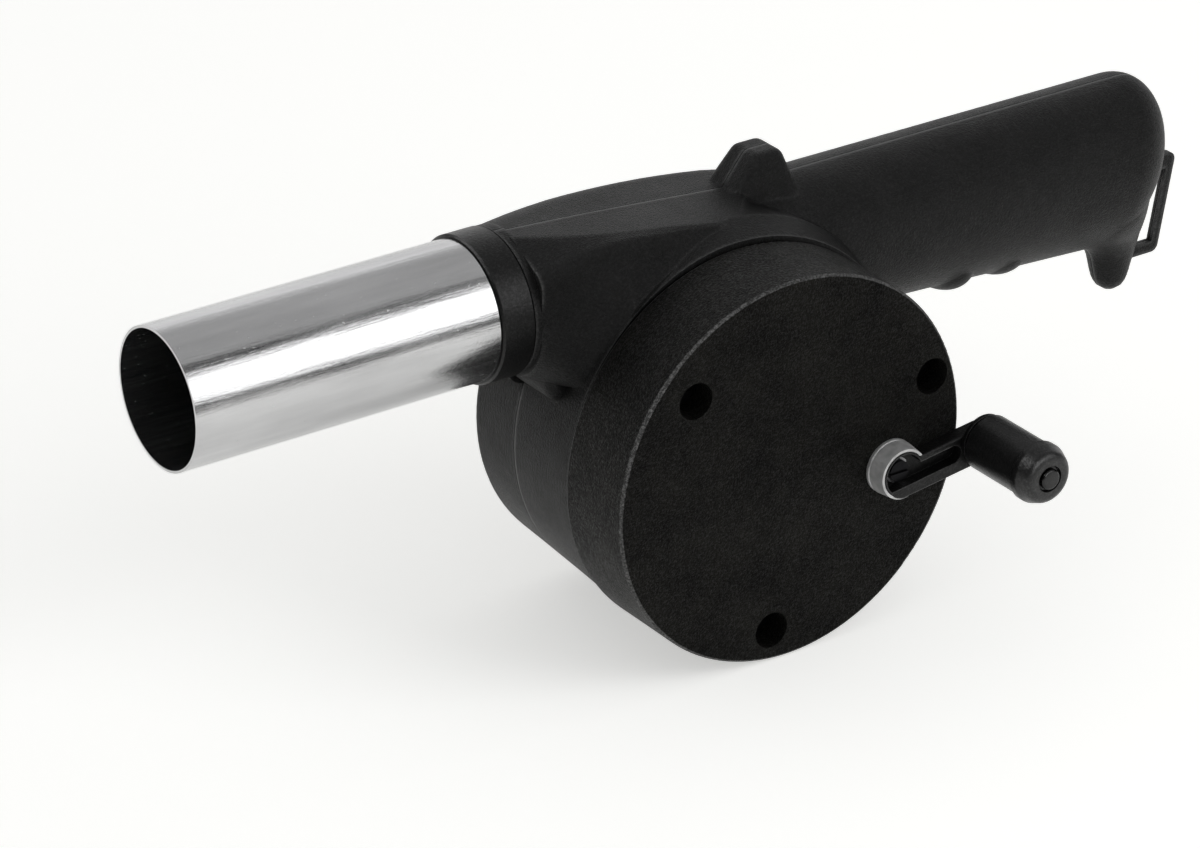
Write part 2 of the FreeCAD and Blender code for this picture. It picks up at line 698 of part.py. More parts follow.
def front_shell(body):
    shell = half(body, PARTITION_Y - THROUGH, -SEAM / 2)
    lip_outer = COVER_RADIUS - COVER_WALL - LIP_CLEARANCE
    lip = ring_y(DRUM_X, DRUM_Z, lip_outer, lip_outer - LIP_WALL, PARTITION_Y - LIP_HEIGHT, PARTITION_Y)
    axle_boss = cyl_y(STEP_X, STEP_Z, STEP_AXLE_RADIUS + BEARING_BOSS_WALL, STEP_BOSS_Y, CHAMBER_FRONT_Y)
    lip = lip.cut([cyl_y(x, z, SCREW_RADIUS + POST_WALL + SIDE_PLAY, PARTITION_Y - LIP_HEIGHT, PARTITION_Y)
                   for x, z in cover_screw_places()])
    shell = shell.fuse([lip, axle_boss, bearing_boss(DRUM_X, DRUM_Z), bearing_boss(CRANK_X, CRANK_Z)])
    bush_bore = FAN_SHAFT_RADIUS + BUSH_WALL + PRESS
    boss_front = CHAMBER_FRONT_Y - BEARING_LENGTH - THROUGH
    cuts = [
        cyl_y(DRUM_X, DRUM_Z, bush_bore, boss_front, CHAMBER_FRONT_Y + THROUGH),
        cyl_y(CRANK_X, CRANK_Z, bush_bore, boss_front, CHAMBER_FRONT_Y + THROUGH),
        cyl_y(STEP_X, STEP_Z, STEP_AXLE_RADIUS + PRESS, STEP_BOSS_Y - THROUGH, CHAMBER_FRONT_Y - AXLE_FLOOR),
    ]
    for x, z in cover_screw_places():
        cuts.append(cyl_y(x, z, SCREW_RADIUS + PRESS, PARTITION_Y - THROUGH, CHAMBER_FRONT_Y + SCREW_GRIP))
    return shell.cut(cuts)


def inlet_cuts():
    slots = []
    for inner, outer in INLET_RINGS:
        slots.append(ring_y(DRUM_X, DRUM_Z, outer, inner, CHAMBER_REAR_Y - THROUGH, DRUM_REAR + THROUGH))
    reach = INLET_RINGS[-1][1] + THROUGH
    y0 = CHAMBER_REAR_Y - 2 * THROUGH
    y1 = DRUM_REAR + 2 * THROUGH
    spokes = []
    for number in range(INLET_SPOKES):
        spoke = block(0, reach, y0, y1, -INLET_SPOKE_WIDTH / 2, INLET_SPOKE_WIDTH / 2)
        turn = Rotation(Vector(0, 1, 0), 360 * number / INLET_SPOKES)
        spoke.Placement = Placement(Vector(DRUM_X, 0, DRUM_Z), turn).multiply(spoke.Placement)
        spokes.append(spoke)
    return Part.makeCompound(slots).cut(spokes)


def rear_shell(body):
    return half(body, SEAM / 2, DRUM_REAR + THROUGH).cut(inlet_cuts())


# Gear cover

def gear_cover():
    rim = COVER_RADIUS + COVER_DRAFT
    cup = revolve_y(DRUM_X, DRUM_Z, [
        (0, FACE_Y),
        (COVER_RADIUS, FACE_Y),
        (rim, RIM_Y),
        (rim - COVER_WALL, RIM_Y),
        (COVER_RADIUS - COVER_WALL, COVER_INNER_Y),
        (0, COVER_INNER_Y),
    ])
    cup = round_edges(cup, COVER_EDGE, lambda b: b.XLength > 2 * COVER_RADIUS - THROUGH and b.YLength < NEAR)
    bush_outer = FAN_SHAFT_RADIUS + BUSH_WALL
    adds = [
        cyl_y(DRUM_X, DRUM_Z, bush_outer + BEARING_BOSS_WALL, COVER_INNER_Y, COVER_INNER_Y + BEARING_LENGTH),
        cyl_y(CRANK_X, CRANK_Z, BUSH_BARREL_RADIUS + BEARING_BOSS_WALL, COVER_INNER_Y, BUSH_REAR_Y),
        cyl_y(STEP_X, STEP_Z, STEP_AXLE_RADIUS + BEARING_BOSS_WALL, COVER_INNER_Y, BUSH_REAR_Y),
    ]
    cuts = [
        cyl_y(DRUM_X, DRUM_Z, bush_outer + PRESS, COVER_INNER_Y, 0),
        cyl_y(CRANK_X, CRANK_Z, BUSH_BARREL_RADIUS + PRESS, FACE_Y - THROUGH, 0),
        cyl_y(STEP_X, STEP_Z, STEP_AXLE_RADIUS + PRESS, FACE_Y + AXLE_FLOOR, 0),
    ]
    seat_y = FACE_Y + COVER_RECESS_DEPTH
    for x, z in cover_screw_places():
        adds.append(cyl_y(x, z, COVER_RECESS_RADIUS + POST_WALL, FACE_Y + COVER_EDGE, seat_y + COVER_SEAT))
        adds.append(cyl_y(x, z, SCREW_RADIUS + POST_WALL, seat_y, PARTITION_Y))
        cuts.append(cyl_y(x, z, COVER_RECESS_RADIUS, FACE_Y - THROUGH, seat_y))
        cuts.append(cyl_y(x, z, SCREW_RADIUS + LOOSE, seat_y - THROUGH, PARTITION_Y + THROUGH))
    return cup.fuse(adds).cut(cuts).removeSplitter()


# Blow tube

def blow_tube():
    shoulder_end = NECK_X - SIDE_PLAY
    shoulder_start = shoulder_end - TUBE_SHOULDER
    plug_end = NECK_X + TUBE_PLUG_LENGTH
    seat_start = COLLAR_X - COLLAR_SEAT_LEAD
    return revolve_x([
        (0, TUBE_RADIUS - TUBE_WALL),
        (0, TUBE_RADIUS),
        (seat_start, TUBE_RADIUS),
        (COLLAR_X, COLLAR_SEAT_RADIUS),
        (shoulder_start, COLLAR_SEAT_RADIUS),
        (shoulder_end, TUBE_PLUG_RADIUS),
        (plug_end, TUBE_PLUG_RADIUS),
        (plug_end, TUBE_PLUG_RADIUS - TUBE_WALL),
        (shoulder_end - TUBE_WALL / 2, TUBE_PLUG_RADIUS - TUBE_WALL),
        (shoulder_start - TUBE_WALL / 2, COLLAR_SEAT_RADIUS - TUBE_WALL),
        (COLLAR_X, COLLAR_SEAT_RADIUS - TUBE_WALL),
        (seat_start, TUBE_RADIUS - TUBE_WALL),
    ])


def collar_ring():
    end = COLLAR_X + COLLAR_WIDTH
    return revolve_x([
        (COLLAR_X, COLLAR_SEAT_RADIUS + PRESS),
        (COLLAR_X, COLLAR_RADIUS - COLLAR_EDGE),
        (COLLAR_X + COLLAR_EDGE, COLLAR_RADIUS),
        (end, COLLAR_RADIUS),
        (end, COLLAR_SEAT_RADIUS + PRESS),
    ])


# Gears and shafts

def gear(x, z, teeth, phase, y0, y1):
    """Involute spur gear about the Y line through x, z; one tooth points at phase."""
    pitch = MODULE * teeth / 2
    base = pitch * math.cos(math.radians(PRESSURE_ANGLE))
    tip = pitch + MODULE
    root = pitch - TOOTH_ROOT * MODULE
    half_tooth = (math.pi * MODULE / 2 - BACKLASH / 2) / (2 * pitch)

    def involute(radius):
        angle = math.acos(min(1.0, base / radius))
        return math.tan(angle) - angle

    def flank_angle(radius):
        return half_tooth + involute(pitch) - involute(max(radius, base))

    def at(radius, angle):
        return Vector(x + radius * math.cos(angle), y0, z + radius * math.sin(angle))

    start = max(root, base)
    middle = (start + tip) / 2
    step = 2 * math.pi / teeth
    edges = []
    for number in range(teeth):
        centre = math.radians(phase) + number * step
        low, mid, high = flank_angle(start), flank_angle(middle), flank_angle(tip)
        if start > root:
            edges.append(line(at(root, centre - low), at(start, centre - low)))
        edges.append(arc(at(start, centre - low), at(middle, centre - mid), at(tip, centre - high)))
        edges.append(line(at(tip, centre - high), at(tip, centre + high)))
        edges.append(arc(at(tip, centre + high), at(middle, centre + mid), at(start, centre + low)))
        if start > root:
            edges.append(line(at(start, centre + low), at(root, centre + low)))
        edges.append(line(at(root, centre + low), at(root, centre + step - low)))
    return Part.Face(Part.Wire(edges)).extrude(Vector(0, y1 - y0, 0))


def web_cut(x, z, pitch, hub, y0, y1):
    """Ring pocket that thins a wheel from its rear side."""
    rim = pitch - TOOTH_ROOT * MODULE - RIM_WALL
    return ring_y(x, z, rim, hub, y0 + WEB_THICKNESS, y1 + THROUGH)


def heading(x0, z0, x1, z1):
    return math.degrees(math.atan2(z1 - z0, x1 - x0))


def crank_gear():
    phase = heading(CRANK_X, CRANK_Z, STEP_X, STEP_Z)
    y1 = FRONT_GEAR_Y + GEAR_WIDTH
    wheel = gear(CRANK_X, CRANK_Z, CRANK_TEETH, phase, FRONT_GEAR_Y, y1)
    hub = CRANK_SHAFT_RADIUS + GEAR_HUB_WALL
    pocket = web_cut(CRANK_X, CRANK_Z, MODULE * CRANK_TEETH / 2, hub, FRONT_GEAR_Y, y1)
    bore = flatted_rod(CRANK_X, CRANK_Z, CRANK_SHAFT_RADIUS + PRESS, SHAFT_FLAT + PRESS,
                       FRONT_GEAR_Y - THROUGH, y1 + THROUGH)
    return wheel.cut([pocket, bore])


def step_gear():
    to_crank = heading(STEP_X, STEP_Z, CRANK_X, CRANK_Z)
    to_fan = heading(STEP_X, STEP_Z, DRUM_X, DRUM_Z)
    rear = REAR_GEAR_Y + GEAR_WIDTH
    pinion = gear(STEP_X, STEP_Z, STEP_PINION_TEETH, to_crank + 180 / STEP_PINION_TEETH,
                  FRONT_GEAR_Y, REAR_GEAR_Y)
    wheel = gear(STEP_X, STEP_Z, STEP_WHEEL_TEETH, to_fan, REAR_GEAR_Y, rear)
    hub = STEP_AXLE_RADIUS + GEAR_HUB_WALL
    pocket = web_cut(STEP_X, STEP_Z, MODULE * STEP_WHEEL_TEETH / 2, hub, REAR_GEAR_Y, rear)
    bore = cyl_y(STEP_X, STEP_Z, STEP_AXLE_RADIUS + RUNNING, FRONT_GEAR_Y - THROUGH, rear + THROUGH)
    return wheel.cut(pocket).fuse(pinion).cut(bore)


def fan_pinion():
    phase = heading(DRUM_X, DRUM_Z, STEP_X, STEP_Z) + 180 / FAN_TEETH
    rear = REAR_GEAR_Y + GEAR_WIDTH
    hub_end = FAN_BUSH_Y - SIDE_PLAY
    pinion = gear(DRUM_X, DRUM_Z, FAN_TEETH, phase, REAR_GEAR_Y, rear)
    hub = cyl_y(DRUM_X, DRUM_Z, FAN_SHAFT_RADIUS + PINION_HUB_WALL, rear, hub_end)
    bore = flatted_rod(DRUM_X, DRUM_Z, FAN_SHAFT_RADIUS + PRESS, SHAFT_FLAT + PRESS,
                       REAR_GEAR_Y - THROUGH, hub_end + THROUGH)
    return pinion.fuse(hub).cut(bore)


def flatted_rod(x, z, radius, flat, y0, y1):
    """Round rod with one flat side, which turns what sits on it."""
    keep = radius - flat
    high = radius + THROUGH
    rod = cyl_y(x, z, radius, y0, y1)
    return rod.cut(block(x + keep, x + high, y0 - THROUGH, y1 + THROUGH, z - high, z + high))


def bush(x, z, shaft, wall, flange, flange_y0, flange_y1, y0, y1):
    body = cyl_y(x, z, shaft + wall, y0, y1).fuse(cyl_y(x, z, flange, flange_y0, flange_y1))
    return body.cut(cyl_y(x, z, shaft + RUNNING, y0 - 2 * THROUGH, y1 + 2 * THROUGH)).removeSplitter()


def inner_bush(x, z):
    """Flanged bush in the wall between gears and fan; the flange is on the gear side."""
    front = CHAMBER_FRONT_Y - BEARING_LENGTH
    flange = FAN_SHAFT_RADIUS + BUSH_WALL + BEARING_FLANGE
    return bush(x, z, FAN_SHAFT_RADIUS, BUSH_WALL, flange, front - BEARING_FLANGE, front,
                front, CHAMBER_FRONT_Y)


def cover_bush():
    end = COVER_INNER_Y + BEARING_LENGTH
    flange = FAN_SHAFT_RADIUS + BUSH_WALL + BEARING_FLANGE
    return bush(DRUM_X, DRUM_Z, FAN_SHAFT_RADIUS, BUSH_WALL, flange, end, end + BEARING_FLANGE,
                COVER_INNER_Y, end)


def crank_bush():
    wall = BUSH_BARREL_RADIUS - CRANK_SHAFT_RADIUS
    body = bush(CRANK_X, CRANK_Z, CRANK_SHAFT_RADIUS, wall, BUSH_FLANGE_RADIUS, BUSH_FRONT_Y, FACE_Y,
                FACE_Y, BUSH_REAR_Y)
    return round_edges(body, BUSH_EDGE,
                       lambda b: b.YMax < BUSH_FRONT_Y + NEAR and b.XLength > BUSH_FLANGE_RADIUS)


def fan_shaft():
    body = cyl_y(DRUM_X, DRUM_Z, FAN_SHAFT_RADIUS, COVER_INNER_Y + SIDE_PLAY, FAN_SHAFT_END_Y)
    keep = FAN_SHAFT_RADIUS - SHAFT_FLAT
    high = FAN_SHAFT_RADIUS + THROUGH
    flats = []
    spans = ((REAR_GEAR_Y, FAN_BUSH_Y - SIDE_PLAY), (FAN_FRONT_Y, FAN_HUB_END_Y))
    for y0, y1 in spans:
        flats.append(block(DRUM_X + keep, DRUM_X + high, y0, y1, DRUM_Z - high, DRUM_Z + high))
    return body.cut(flats)


def crank_shaft():
    floor_y = ARM_FRONT_Y + ARM_RECESS
    gear_end = FRONT_GEAR_Y + GEAR_WIDTH
    body = cyl_y(CRANK_X, CRANK_Z, CRANK_SHAFT_RADIUS, floor_y, gear_end)
    tail = cyl_y(CRANK_X, CRANK_Z, CRANK_TAIL_RADIUS, gear_end, CHAMBER_FRONT_Y)
    keep = CRANK_SHAFT_RADIUS - SHAFT_FLAT
    high = CRANK_SHAFT_RADIUS + THROUGH
    cuts = [cyl_y(CRANK_X, CRANK_Z, CRANK_SCREW_RADIUS + PRESS, floor_y - THROUGH,
                  floor_y + CRANK_SCREW_LENGTH + LOOSE)]
    for y0, y1 in ((floor_y - THROUGH, ARM_REAR_Y), (FRONT_GEAR_Y, gear_end)):
        cuts.append(block(CRANK_X + keep, CRANK_X + high, y0, y1, CRANK_Z - high, CRANK_Z + high))
    return body.fuse(tail).cut(cuts).removeSplitter()


def step_axle():
    return cyl_y(STEP_X, STEP_Z, STEP_AXLE_RADIUS, FACE_Y + AXLE_FLOOR, CHAMBER_FRONT_Y - AXLE_FLOOR)


def step_washer():
    return ring_y(STEP_X, STEP_Z, STEP_WASHER_RADIUS, STEP_AXLE_RADIUS + PRESS, STEP_BOSS_Y - STEP_WASHER,
                  STEP_BOSS_Y)


# Fan

def blade(angle):
    outer = FAN_RADIUS - PRESS
    inner = FAN_EYE_RADIUS
    middle = (inner + outer) / 2
    turns = (0.0, FAN_BLADE_BOW * FAN_BLADE_SWEEP, FAN_BLADE_SWEEP)

    def side(sign):
        points = []
        for radius, turn in zip((inner, middle, outer), turns):
            thick = math.degrees(FAN_BLADE_THICKNESS / 2 / radius)
            dx, dz = polar(radius, angle + turn + sign * thick)
            points.append(Vector(DRUM_X + dx, 0, DRUM_Z + dz))
        return points

    left = side(1)
    right = side(-1)
    outline = [arc(*left), line(left[2], right[2]), arc(right[2], right[1], right[0]),
               line(right[0], left[0])]
    return extrude_y(outline, FAN_FRONT_Y, FAN_FRONT_Y + FAN_WIDTH)


def impeller():
    rear = FAN_FRONT_Y + FAN_WIDTH
    plate = cyl_y(DRUM_X, DRUM_Z, FAN_RADIUS, FAN_FRONT_Y, FAN_FRONT_Y + FAN_PLATE)
    hub = cyl_y(DRUM_X, DRUM_Z, FAN_HUB_RADIUS, FAN_FRONT_Y, FAN_HUB_END_Y)
    hoop = ring_y(DRUM_X, DRUM_Z, FAN_RADIUS, FAN_EYE_RADIUS, rear - FAN_PLATE, rear)
    blades = [blade(360 * number / FAN_BLADES) for number in range(FAN_BLADES)]
    bore = flatted_rod(DRUM_X, DRUM_Z, FAN_SHAFT_RADIUS + PRESS, SHAFT_FLAT + PRESS,
                       FAN_FRONT_Y - THROUGH, FAN_HUB_END_Y + THROUGH)
    return plate.fuse([hub, hoop] + blades).cut(bore).removeSplitter()


def hexagon(x, z, across, y0, y1):
    radius = across / math.sqrt(3)
    points = []
    for number in range(7):
        dx, dz = polar(radius, 60 * number)
        points.append(Vector(x + dx, y0, z + dz))
    return Part.Face(Part.makePolygon(points)).extrude(Vector(0, y1 - y0, 0))


def fan_nut():
    body = hexagon(DRUM_X, DRUM_Z, FAN_NUT_ACROSS, FAN_HUB_END_Y, FAN_HUB_END_Y + FAN_NUT)
    bore = cyl_y(DRUM_X, DRUM_Z, FAN_SHAFT_RADIUS + PRESS, FAN_HUB_END_Y - THROUGH,
                 FAN_HUB_END_Y + FAN_NUT + THROUGH)
    return body.cut(bore)


# Crank arm and knob

def arm_axis(along, aside):
    """Point so far along the arm from the crank's axis, and so far to its upper side."""
    lean = math.radians(CRANK_LEAN)
    return (CRANK_X + along * math.cos(lean) - aside * math.sin(lean),
            CRANK_Z + along * math.sin(lean) + aside * math.cos(lean))


def arm_bar(grow):
    """The arm's straight bar, which hangs a little below the line from hub to knob."""
    hub = arm_axis(0, -ARM_HUB_DROP)
    far = arm_axis(CRANK_THROW, -ARM_KNOB_DROP)
    outline = hull_outline(*hub, ARM_HALF_WIDTH + grow, *far, ARM_HALF_WIDTH)
    return extrude_y(outline, ARM_FRONT_Y, ARM_REAR_Y)


def above_rail(low):
    """Block on the upper side of the arm's lower rail, whose edge starts at that height."""
    reach = 2 * ARM_HUB_RADIUS
    tilt = (ARM_HUB_DROP - ARM_KNOB_DROP) / CRANK_THROW * reach
    corners = [arm_axis(-reach, low - tilt), arm_axis(reach, low + tilt), arm_axis(reach, reach),
               arm_axis(-reach, reach)]
    points = [Vector(x, ARM_FRONT_Y - THROUGH, z) for x, z in corners]
    return Part.Face(Part.makePolygon(points + [points[0]])).extrude(Vector(0, ARM_THICKNESS + THROUGH, 0))


def soft_front(body):
    return round_edges(body, ARM_EDGE, lambda b: b.YMax < ARM_FRONT_Y + NEAR)


def crank_arm():
    hub = cyl_y(CRANK_X, CRANK_Z, ARM_HUB_RADIUS, ARM_FRONT_Y, ARM_REAR_Y)
    body = soft_front(arm_bar(0)).fuse(soft_front(hub))
    rise = (ARM_LOWER_RAIL - ARM_UPPER_RAIL) / 2
    half_width = ARM_HALF_WIDTH - (ARM_LOWER_RAIL + ARM_UPPER_RAIL) / 2
    start = arm_axis(0, rise - ARM_HUB_DROP)
    end = arm_axis(CRANK_THROW - KNOB_WASHER_RADIUS - half_width, rise - ARM_KNOB_DROP)
    channel = hull_outline(*start, half_width + PRESS, *end, half_width)
    rail_z = ARM_LOWER_RAIL - ARM_HALF_WIDTH - ARM_HUB_DROP
    recess = cyl_y(CRANK_X, CRANK_Z, ARM_HUB_RECESS, ARM_FRONT_Y - THROUGH, ARM_FRONT_Y + ARM_RECESS)
    recess = recess.common(above_rail(rail_z))
    cuts = [
        extrude_y(channel, ARM_FRONT_Y - THROUGH, ARM_FRONT_Y + ARM_RECESS),
        recess,
        flatted_rod(CRANK_X, CRANK_Z, CRANK_SHAFT_RADIUS + PRESS, SHAFT_FLAT + PRESS, ARM_FRONT_Y - THROUGH,
                    ARM_REAR_Y + THROUGH),
        cyl_y(KNOB_X, KNOB_Z, KNOB_PIN_RADIUS + PRESS, ARM_FRONT_Y - THROUGH, ARM_REAR_Y + THROUGH),
    ]
    return body.cut(cuts)


def crank_ferrule():
    """Steel cup behind and round the arm's hub, open where the bar leaves it."""
    base_y = ARM_REAR_Y + FERRULE_BASE
    hub = ARM_HUB_RADIUS + PRESS
    cup = revolve_y(CRANK_X, CRANK_Z, [
        (CRANK_SHAFT_RADIUS + PRESS, base_y),
        (BUSH_FLANGE_RADIUS, base_y),
        (FERRULE_TOP_RADIUS, ARM_FRONT_Y + FERRULE_SET_BACK),
        (hub, ARM_FRONT_Y + FERRULE_SET_BACK),
        (hub, ARM_REAR_Y),
        (CRANK_SHAFT_RADIUS + PRESS, ARM_REAR_Y),
    ])
    return cup.cut(arm_bar(PRESS))


def slotted_screw(x, z, radius, length, head_radius, head, seat_y, side):
    """Slotted screw on a Y line; side is -1 where the head is at the front, 1 at the rear."""
    tip_y = seat_y - side * length
    head_y = seat_y + side * head
    body = cyl_y(x, z, radius, min(tip_y, seat_y), max(tip_y, seat_y))
    cap = cyl_y(x, z, head_radius, min(head_y, seat_y), max(head_y, seat_y))
    half_width = SCREW_SLOT_WIDTH / 2
    floor_y = head_y - side * min(SCREW_SLOT_DEPTH, head / 2)
    y0 = min(head_y + side, floor_y)
    y1 = max(head_y + side, floor_y)
    slot = block(x - head_radius - THROUGH, x + head_radius + THROUGH, y0, y1, z - half_width, z + half_width)
    return body.fuse(cap).cut(slot).removeSplitter()


def crank_screw():
    return slotted_screw(CRANK_X, CRANK_Z, CRANK_SCREW_RADIUS, CRANK_SCREW_LENGTH, CRANK_SCREW_HEAD_RADIUS,
                         CRANK_SCREW_HEAD, ARM_FRONT_Y + ARM_RECESS, -1)


def knob_washer():
    return ring_y(KNOB_X, KNOB_Z, KNOB_WASHER_RADIUS, KNOB_PIN_RADIUS + PRESS, ARM_FRONT_Y - KNOB_WASHER,
                  ARM_FRONT_Y)


def knob():
    ring_y0 = KNOB_END_Y + KNOB_DOME
    ring_y1 = ring_y0 + KNOB_RING_WIDTH
    bore = KNOB_PIN_RADIUS + RUNNING
    body = revolve_y(KNOB_X, KNOB_Z, [
        (bore, KNOB_START_Y),
        (KNOB_RADIUS - KNOB_EDGE, KNOB_START_Y),
        (KNOB_RADIUS, KNOB_START_Y - KNOB_EDGE),
        (KNOB_RADIUS, ring_y1 + KNOB_EDGE),
        (KNOB_RING_RADIUS, ring_y1),
        (KNOB_RING_RADIUS, ring_y0),
        (KNOB_END_RADIUS, KNOB_END_Y),
        (KNOB_DIMPLE_RADIUS, KNOB_END_Y),
        (KNOB_DIMPLE_RADIUS - KNOB_EDGE / 2, KNOB_END_Y + KNOB_DIMPLE_DEPTH),
        (bore, KNOB_END_Y + KNOB_DIMPLE_DEPTH),
    ])
    body = round_edges(body, KNOB_RING_ROUND, lambda b: abs(b.YMax - ring_y0) < NEAR and b.YLength < NEAR)
    return round_edges(body, KNOB_ROUND,
                       lambda b: b.YMax < KNOB_END_Y + NEAR and b.XLength > KNOB_END_RADIUS * 1.5)


def knob_rivet():
    head_y = KNOB_END_Y + KNOB_DIMPLE_DEPTH - SIDE_PLAY
    pin = cyl_y(KNOB_X, KNOB_Z, KNOB_PIN_RADIUS, head_y, ARM_REAR_Y)
    head = cyl_y(KNOB_X, KNOB_Z, KNOB_PIN_HEAD_RADIUS, head_y - KNOB_PIN_HEAD, head_y)
    head = round_edges(head, RIVET_ROUND, lambda b: b.YMax < head_y - KNOB_PIN_HEAD + NEAR)
    tail = cyl_y(KNOB_X, KNOB_Z, KNOB_PIN_HEAD_RADIUS, ARM_REAR_Y, ARM_REAR_Y + RIVET_TAIL)
    return pin.fuse([head, tail]).removeSplitter()


# Fasteners

def cover_screws():
    seat_y = FACE_Y + COVER_RECESS_DEPTH
    length = CHAMBER_FRONT_Y + SCREW_GRIP - LOOSE - seat_y
    screws = [slotted_screw(x, z, SCREW_RADIUS, length, SCREW_HEAD_RADIUS, SCREW_HEAD, seat_y, -1)
              for x, z in cover_screw_places()]
    return Part.makeCompound(screws)


def shell_screws():
    screws = [slotted_screw(x, z, SCREW_RADIUS, SHELL_SCREW_LENGTH, SCREW_HEAD_RADIUS, SCREW_HEAD,
                            SHELL_SEAT_Y, 1)
              for x, z in SHELL_SCREW_PLACES]
    return Part.makeCompound(screws)


def main():
    os.makedirs("parts", exist_ok=True)
    body = housing()
    parts = {
        "front_shell": front_shell(body),
        "rear_shell": rear_shell(body),
        "gear_cover": gear_cover(),
        "blow_tube": blow_tube(),
        "collar_ring": collar_ring(),
        "crank_gear": crank_gear(),
        "step_gear": step_gear(),
        "fan_pinion": fan_pinion(),
        "fan_shaft": fan_shaft(),
        "fan_front_bush": cover_bush(),
        "fan_rear_bush": inner_bush(DRUM_X, DRUM_Z),
        "crank_inner_bush": inner_bush(CRANK_X, CRANK_Z),
        "crank_bush": crank_bush(),
        "crank_shaft": crank_shaft(),
        "step_axle": step_axle(),
        "step_washer": step_washer(),
        "impeller": impeller(),
        "fan_nut": fan_nut(),
        "crank_arm": crank_arm(),
        "crank_ferrule": crank_ferrule(),
        "crank_screw": crank_screw(),
        "knob_washer": knob_washer(),
        "knob": knob(),
        "knob_rivet": knob_rivet(),
        "cover_screws": cover_screws(),
        "shell_screws": shell_screws(),
    }
    for name, shape in parts.items():
        print(name, "valid" if shape.isValid() else "NOT VALID", len(shape.Solids), round(shape.Volume, 1))
        shape.exportStep("parts/" + name + ".step")


main()
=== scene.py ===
import json
import math

import bpy
from mathutils import Euler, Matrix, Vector

# Hand-cranked barbecue blower: finishes, camera, floor and light.
# Everything is in metres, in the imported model's own frame.

# Camera, from the perspective of the photograph's round parts
CAMERA_PLACE = (-0.4650, -0.8313, 0.4744)
CAMERA_TURN = (63.15, 0.0, -34.68)
CAMERA_LENS = 155.64
CAMERA_SENSOR = 36.0
CAMERA_CLIP = (0.01, 50.0)
IMAGE_WIDTH = 1200
CAMERA_SHIFT_PIXELS = -1.0

# Floor and room. The room's even light fills the shadows and isn't seen in glossy surfaces,
# which show the softboxes and the floor.
FLOOR_Z = -0.0818
FLOOR_REACH = 6.0
FLOOR_COLOR = (0.93, 0.93, 0.915)
FLOOR_PATCH_TONE = 0.99
FLOOR_PATCH_SCALE = 3.0
FLOOR_GLOW_COLOR = (1.0, 1.0, 0.985)
FLOOR_GLOW = 0.49
ROOM_COLOR = (1.0, 1.0, 0.995)
ROOM_STRENGTH = 0.44

# Name, place, target, size and brightness of each softbox, and whether it lights matt surfaces
SOFTBOXES = (
    ("softbox_above", (0.5, 0.80, 1.2), (0.5, 0.80, 0.0), (2.6, 2.6), 0.42, False),
    ("softbox_front", (0.815, -1.04, 0.64), (0.035, 0.0, 0.0), (0.9, 0.92), 1.9, True),
    ("softbox_behind", (1.35, 1.25, 0.5), (0.1, 0.0, 0.0), (3.1, 1.0), 0.8, False),
    ("softbox_left", (-0.70, 1.05, 0.95), (0.1, 0.0, 0.0), (0.9, 0.7), 4.5, False),
    ("softbox_side", (-0.85, 0.10, 1.05), (0.1, 0.0, 0.0), (0.45, 0.45), 6.0, False),
    ("softbox_camera", (-0.05, -1.35, 0.70), (0.1, 0.0, 0.0), (0.9, 0.8), 3.5, False),
)

# Power of an area light, per square metre, at a brightness of 1
POWER_PER_AREA = 4.0

# Black panel between the front softbox and the floor, seen only in glossy surfaces
FLAG_PLACE = (0.47, -0.62)
FLAG_TURN = 33.0
FLAG_SIZE = (0.80, 0.145)
FLAG_DARK = (0.004, 0.004, 0.004)
FLAG_LIGHT = (0.010, 0.010, 0.010)
FLAG_WEAVE_SCALE = 900.0

# Roughness of the floor and of the panel's cloth
MATT = 0.9

# Smooth shading breaks at edges sharper than this
SMOOTH_ANGLE = 32.0

# Moulded plastic. Cloud and marks are noise textures; a shine is a specular level.
PLASTIC_CLOUD = {"scale": 70.0, "detail": 8.0, "roughness": 0.72}
PLASTIC_MARKS = {"scale": 420.0, "detail": 6.0, "roughness": 0.7, "stretch": (1.0, 1.0, 0.35)}
GRAIN_SCALE = 2400.0
GRAIN_DEPTH = 0.0004
GLINT_TO_GRAIN = 0.7
GLINT = 0.45
GLINT_LOSS = 0.3
GLOSS_SWING = 0.04
SCUFF_GLOSS = -0.07
EDGE_SHINE = 0.7
EDGE_SAMPLES = 6
CREASE_REACH = 0.003
# Shine left in the deepest creases, found by ambient occlusion: painted shade
CREASE_SHADE_SHINE = 0.2

# Drawn tube. Its textures are stretched along the X axis, as its marks are.
TUBE_LINES = {"scale": 1300.0, "detail": 4.0, "roughness": 0.65, "stretch": (0.035, 1.0, 1.0)}
TUBE_WAVES = {"scale": 240.0, "detail": 3.0, "roughness": 0.5, "stretch": (0.10, 1.0, 1.0)}
TUBE_SPECKLE = {"scale": 1500.0, "detail": 5.0, "roughness": 0.7, "stretch": (0.5, 1.0, 1.0)}
TUBE_CLOUD = {"scale": 60.0, "stretch": (0.35, 1.0, 1.0)}
TUBE_CLOUD_SHARE = 0.6
TUBE_DARK = (0.47, 0.47, 0.475)
TUBE_LIGHT = (0.58, 0.58, 0.585)
TUBE_BRUSHED = 0.5
TUBE_ROUGH = (0.14, 0.24)
TUBE_SPECKLE_ROUGH = 0.15
TUBE_WAVE_DEPTH = 0.00008
TUBE_LINE_DEPTH = 0.00003
TUBE_SPECKLE_DEPTH = 0.000025

# Turned or plated metal
METAL_SCALE = 900.0
METAL_DEPTH = 0.00002
METAL_CLOUD_TO_MARKS = 0.25
METAL_ROUGH_SWING = (-0.06, 0.08)

